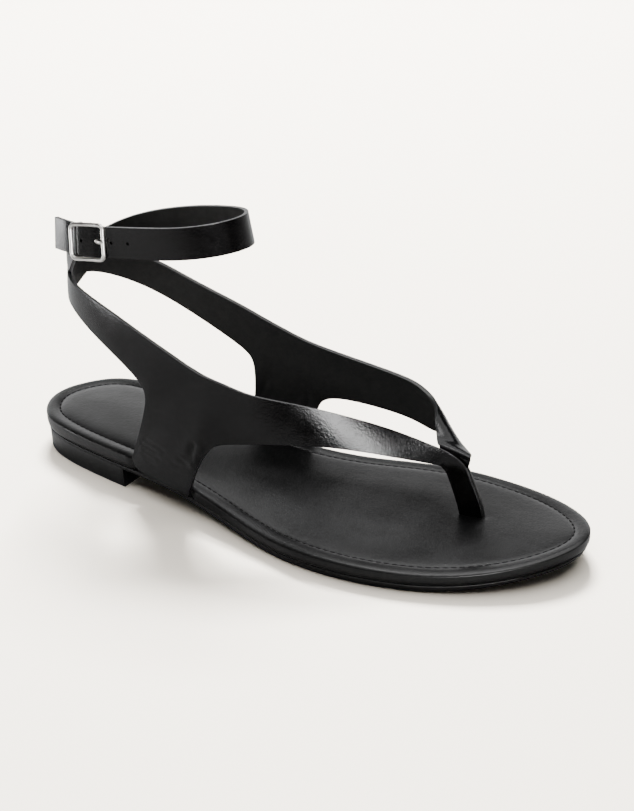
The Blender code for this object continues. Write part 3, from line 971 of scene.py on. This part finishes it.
def cutSheet(name, band, rows):      # a strap of leather with a lined back and painted edges, whose lighter tone is partly a painted highlight on the rounded cut edges
    rows = rows[::-1] if band["side"] < 0 else rows
    piece = loft(name, rows)
    wall = piece.modifiers.new("leather", "SOLIDIFY")
    wall.thickness = leatherThickness * mm
    wall.offset = 0.0
    wall.use_even_offset = False
    wall.material_offset = 1
    # the cut edges get the edge paint, with its partly painted highlight
    wall.material_offset_rim = 2
    finishPiece(piece, ["upper"], "upper", strapLeather, strapLining, strapEdgeWithHighlight)
    roundEdges(piece, sheet["edgeRounding"])
    return piece


def punchHoles(piece, middleLine):      # blind holes along the middle of the strap
    along, across, out = (np.array(axis) for axis in buckleAxes())
    reach = (middleLine - np.array(buckle["centre"])) @ along
    last = len(middleLine) - sheet["columns"] * (len(ankleStrap["weave"]) + 2)      # the strap's last stretch
    radius, depth = ankleStrap["hole"]
    sides, length = ankleStrap["pin"]
    pins = []
    for place in ankleStrap["holes"]:
        index = last + int(np.argmin(np.abs(reach[last:] - place)))
        ahead = middleLine[index + 1] - middleLine[index - 1]
        facing = Vector(np.cross(across, ahead)).normalized()
        facing = facing if facing.dot(Vector(out)) > 0 else -facing
        deselect()
        bpy.ops.mesh.primitive_cylinder_add(vertices=sides, radius=radius * mm, depth=length * mm)
        pin = bpy.context.object
        top = Vector(middleLine[index]) + facing * (leatherThickness / 2 - depth + length / 2)
        turn = facing.to_track_quat("Z", "Y").to_matrix().to_4x4()
        pin.data.transform(Matrix.Translation(toFrame(top)) @ turn)
        pins.append(pin)
    punch = joinAll("punch", pins)
    cut = piece.modifiers.new("holes", "BOOLEAN")
    cut.operation = "DIFFERENCE"
    cut.solver = "EXACT"
    cut.object = punch
    applyModifiers(piece)
    bpy.data.objects.remove(punch)


def makeStraps():
    upper, lower, corners = bandEdges(outerBand)
    for more in (strapEdges(), buckleEdges(ankleStrap["weave"])):
        upper += more[0]
        lower += more[1]
    rows = bandRows(outerBand, upper, lower, corners)
    outer = cutSheet("upper_outer_band", outerBand, rows)
    punchHoles(outer, rows[sheet["steps"] // 2])
    smoothShade(outer, sheet["sharpAngle"])

    upper, lower, corners = bandEdges(innerBand)
    more = buckleEdges(ankleStrap["fold"])
    inner = cutSheet("upper_inner_band", innerBand,
                     bandRows(innerBand, upper + more[0], lower + more[1], corners))
    smoothShade(inner, sheet["sharpAngle"])
    print("straps:", len(outer.data.polygons), "and", len(inner.data.polygons), "faces")


post = {
    "rows": [                    # front edge x y z, rear edge x y z, from the root up
        (205.0, 4.52, 5.0, 195.7, 3.32, 5.0),
        (204.7, 4.52, 9.5, 195.7, 3.32, 9.5),
        (202.7, 4.42, 17.0, 193.7, 3.12, 17.0),
        (199.9, 4.22, 24.1, 191.4, 2.92, 23.6),
        (198.2, 4.0, 28.2, 190.6, 2.6, 27.0),
    ],
    "steps": 12,
    "seam": 1.7,                 # its stitches lie this far in from the front edge
    "seamHeights": (10.6, 24.2),
    "seamShare": 0.7,            # their size beside the footbed's
}


def makePostStitching(front, rear):
    across = unit(rear - front)
    out = unit(np.cross(across, np.gradient(front, axis=0)))
    path = front + across * post["seam"] + out * leatherThickness / 2
    length = lengthAlong(path)
    start, end = np.interp(post["seamHeights"], path[:, 2], length)
    marks = np.arange(start, end, stitch["spacing"] * post["seamShare"])
    spots, ups, ahead = (pointsAt(marks, length, values) for values in (path, out, np.gradient(path, axis=0)))
    row = sewStitches("toe_post_stitching", spots, ahead, ups, post["seamShare"])
    finishPiece(row, [], "upper", thread)
    print("stitches up the toe post:", len(spots))


def makePost():                  # the outer band's own end is its outer layer, and this is the inner one
    front = splineThrough([row[:3] for row in post["rows"]], sheet["columns"])
    rear = splineThrough([row[3:] for row in post["rows"]], sheet["columns"])
    rows = [front + (rear - front) * share for share in np.linspace(0.0, 1.0, post["steps"] + 1)]
    piece = cutSheet("upper_toe_post", innerBand, rows)
    smoothShade(piece, sheet["sharpAngle"])
    makePostStitching(front, rear)
    print("toe post:", len(piece.data.polygons), "faces")


# Buckle

def onFrame(along, across, out):      # a place on the frame as it lies on the strap
    turn = Euler([math.radians(angle) for angle in buckle["turn"]]).to_matrix()
    return atBuckle(*(turn @ Vector((along, across, out))))


def framePath():
    wide = buckle["wire"][0]
    halfLong, halfHigh = buckle["length"] / 2 - wide, buckle["height"] / 2 - wide
    corner = buckle["corner"]
    points = []
    for turn, (a, b) in enumerate(((1, 1), (-1, 1), (-1, -1), (1, -1))):
        for angle in np.radians(np.linspace(90.0 * turn, 90.0 * (turn + 1), buckle["cornerSteps"])):
            points.append((a * (halfLong - corner) + corner * math.cos(angle),
                           b * (halfHigh - corner) + corner * math.sin(angle)))
    points = evenSpacing(np.array(points), buckle["ringSteps"])
    dish = buckle["barsOut"] - buckle["sidesOut"]
    lift = buckle["sidesOut"] + dish * smoothStep(0.0, halfLong, np.abs(points[:, 0]))
    return [onFrame(s, w, out) for (s, w), out in zip(points, lift)]


def capEnds():
    bpy.ops.mesh.select_all(action="DESELECT")
    bpy.ops.mesh.select_non_manifold()
    bpy.ops.mesh.edge_face_add()
    bpy.ops.mesh.select_all(action="SELECT")
    faceOutwards()


def makeBuckle():
    along, across, out = buckleAxes()
    wide, thick = buckle["wire"]
    ring = loft("buckle_ring", tubeRows(framePath(), out, wide, thick, closed=True),
                ringClosed=True, pathClosed=True)
    editAll(ring, faceOutwards)
    reach = buckle["height"] / 2 - wide
    straight, bend = buckle["barBend"]
    drop = [(1.0, buckle["sidesOut"]), (bend, buckle["barBendOut"]), (straight, buckle["centreOut"])]
    drop = [(-share, depth) for share, depth in drop] + [(0.0, buckle["centreOut"])] + drop[::-1]
    barPath = splineThrough([onFrame(0.0, share * reach, depth) for share, depth in drop], buckle["barSteps"])
    bar = loft("bar", tubeRows(barPath, along, buckle["bar"], buckle["bar"]), ringClosed=True)
    editAll(bar, faceOutwards)
    piece = joinAll("buckle_nickel_frame", [ring, bar])
    smoothShade(piece, buckle["sharpAngle"])
    finishPiece(piece, ["buckle_frame"], "buckle", nickel)

    flat, slim = buckle["prong"]
    hook = buckle["hook"]
    rest = buckle["barsOut"] + thick + slim + buckle["prongRest"]
    path = [(hook * math.cos(angle), buckle["centreOut"] + hook * math.sin(angle))
            for angle in np.radians(np.linspace(*buckle["hookTurn"]))]
    path += buckle["prongRise"] + [(tip, rest) for tip in buckle["prongTip"]]
    path = splineThrough([onFrame(place, buckle["prongAcross"], depth) for place, depth in path],
                         buckle["prongSteps"])
    taper, start, end = buckle["prongTaper"]
    narrow = 1.0 - taper * smoothStep(start, end, np.linspace(0.0, 1.0, len(path)))
    prong = loft("buckle_nickel_prong", tubeRows(path, across, slim * narrow, flat * narrow), ringClosed=True)
    editAll(prong, capEnds)
    smoothShade(prong, buckle["sharpAngle"])
    finishPiece(prong, ["buckle_prong"], "buckle", nickel)
    print("buckle:", len(piece.data.polygons) + len(prong.data.polygons), "faces")


makeOutsole()
makeHeel()
makeFootbed()
makeBedStitching()
makeStraps()
makePost()
makeBuckle()


# Studio

studio = {
    "floor": ((0.96, 0.885, 0.765), (0.98, 0.90, 0.78)),
    "floorLook": {"shader": {"Roughness": 0.9, "Specular IOR Level": 0.05}},
    "floorBlotch": 300.0,        # mm
    "floorSize": 12.0,
    # the floor as the shoe mirrors it, a painted reflection: greys that add up, each from one to another
    # between two y, with painted shade in the band just in front of the shoe and lighter grey further towards
    # the camera
    "mirrored": [
        (0.165, 0.12, -0.05, -0.085),
        (0.0, 0.15, -0.12, -0.36),
    ],
    "mirroredHeight": 0.0003,
    "darkRoom": ((0.002, 0.002, 0.002), (0.003, 0.003, 0.003)),
    "roomSize": 8.0,
    "roomHeight": 0.0008,
    "tableEdge": 0.13,           # ahead of the camera: no white floor is mirrored nearer than this
    "world": (1.0, 0.995, 0.985),
    "worldStrength": 0.05,
    "softboxes": [               # light the floor and the leather: name, place, aim, width, height, radiance
        ("overhead", (-0.1, 0.1, 1.6), (-0.1, 0.1, 0.0), 2.4, 2.4, 3.6),
        ("key", (-0.6, 1.0, 1.45), (0.0, 0.0, 0.0), 0.6, 0.6, 185.0),
    ],
    "panels": [                  # only seen mirrored in the shoe
        ("ceiling", (0.3, 0.62, 1.4), (0.3, 0.0, 0.03), 2.4, 1.2, 3.0),
        ("zenith", (0.0, -0.02, 1.5), (0.0, 0.0, 0.0), 1.2, 0.3, 11.0),
        ("front_top", (0.15, -0.45, 1.4), (0.0, 0.0, 0.03), 1.2, 0.7, 1.6),
        ("backdrop_left", (-1.357, 0.848, 0.43), (0.0, 0.0, 0.43), 1.3, 0.86, 1.9),
        ("backdrop_right", (-0.387, 1.55, 0.31), (0.0, 0.0, 0.31), 1.25, 0.62, 1.6),
        ("camera_side", (0.775, -1.02, 0.41), (0.03, -0.02, 0.05), 0.47, 0.31, 46.0),
        ("right_side", (1.12, -0.65, 0.24), (0.03, -0.02, 0.05), 0.27, 0.27, 1.6),
        ("left_side", (-0.48, -0.19, 0.025), (-0.1, -0.015, 0.1), 0.16, 0.05, 20.0),
    ],
}
view = {                         # metres, degrees and mm
    "place": (0.35459, -0.52732, 0.35657),
    "aim": (0.01316, 0.00151, 0.045),
    "roll": -2.13,
    "lens": 81.03,
    "clip": 0.01,
}


def layFloor(name, size, height, colours):      # a pair of colours, blotched, or a list of greys
    deselect()
    bpy.ops.mesh.primitive_plane_add(size=size, location=(0.0, 0.0, height))
    floor = bpy.context.object
    floor.name = name
    material, tree, shader, place = newMaterial(name, studio["floorLook"])
    if isinstance(colours, list):
        front = addNode(tree, "SeparateXYZ", Vector=place).outputs["Y"]
        colour = addSum(tree, *(addRange(tree, front, *grey) for grey in colours))
    else:
        colour = addTint(tree, addNoise(tree, place, studio["floorBlotch"]), *colours)
    tree.links.new(colour, shader.inputs["Base Color"])
    floor.data.materials.append(material)
    floor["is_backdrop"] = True
    return floor


def onlyMirrored(thing):
    thing.visible_camera = False
    thing.visible_diffuse = False
    thing.visible_transmission = False
    thing.visible_volume_scatter = False
    thing.visible_shadow = False


def hangLight(name, spot, aim, width, height, radiance):
    turn = (Vector(aim) - Vector(spot)).to_track_quat("-Z", "Y").to_euler()
    bpy.ops.object.light_add(type="AREA", location=spot, rotation=turn)
    light = bpy.context.object
    light.name = name
    light.data.shape = "RECTANGLE"
    light.data.size, light.data.size_y = width, height
    light.data.energy = radiance * math.pi * width * height
    light.visible_camera = False
    return light


def makeStudio():
    size = studio["floorSize"]
    layFloor("floor", size, 0.0, studio["floor"]).visible_glossy = False
    # a grey floor seen only in reflections: a painted reflection of the floor, with painted shade near the
    # shoe
    onlyMirrored(layFloor("mirrored_floor_with_painted_shade", size, studio["mirroredHeight"], studio["mirrored"]))
    ahead = Vector(view["aim"]) - Vector(view["place"])
    ahead = Vector((ahead.x, ahead.y, 0.0)).normalized()
    edge = Vector((view["place"][0], view["place"][1], 0.0)) + ahead * studio["tableEdge"]
    centre = edge - ahead * studio["roomSize"] / 2
    centre.z = studio["roomHeight"]
    room = layFloor("dark_room", studio["roomSize"], 0.0, studio["darkRoom"])      # past the near edge
    room.matrix_world = Matrix.Translation(centre) @ ahead.to_track_quat("Y", "Z").to_matrix().to_4x4()
    onlyMirrored(room)
    for softbox in studio["softboxes"]:
        hangLight(*softbox).visible_glossy = False
    for panel in studio["panels"]:
        hangLight(*panel).visible_diffuse = False
    world = bpy.data.worlds.new("softRoom")
    world.use_nodes = True
    sky = world.node_tree.nodes["Background"]
    sky.inputs["Color"].default_value = (*studio["world"], 1.0)
    sky.inputs["Strength"].default_value = studio["worldStrength"]
    bpy.context.scene.world = world
    print("studio lit")


def makeCamera():
    spot = Vector(view["place"])
    turn = (Vector(view["aim"]) - spot).to_track_quat("-Z", "Y").to_matrix()
    turn = turn @ Matrix.Rotation(math.radians(view["roll"]), 3, "Z")
    bpy.ops.object.camera_add(location=spot, rotation=turn.to_euler())
    camera = bpy.context.object
    camera.data.lens = view["lens"]
    camera.data.clip_start = view["clip"]
    bpy.context.scene.camera = camera


makeStudio()
makeCamera()

lookLow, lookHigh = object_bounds()
for box, size in (("visual box:", lookHigh - lookLow), ("CAD box:", cadHigh - cadLow)):
    print(box, [round(side, 4) for side in size])
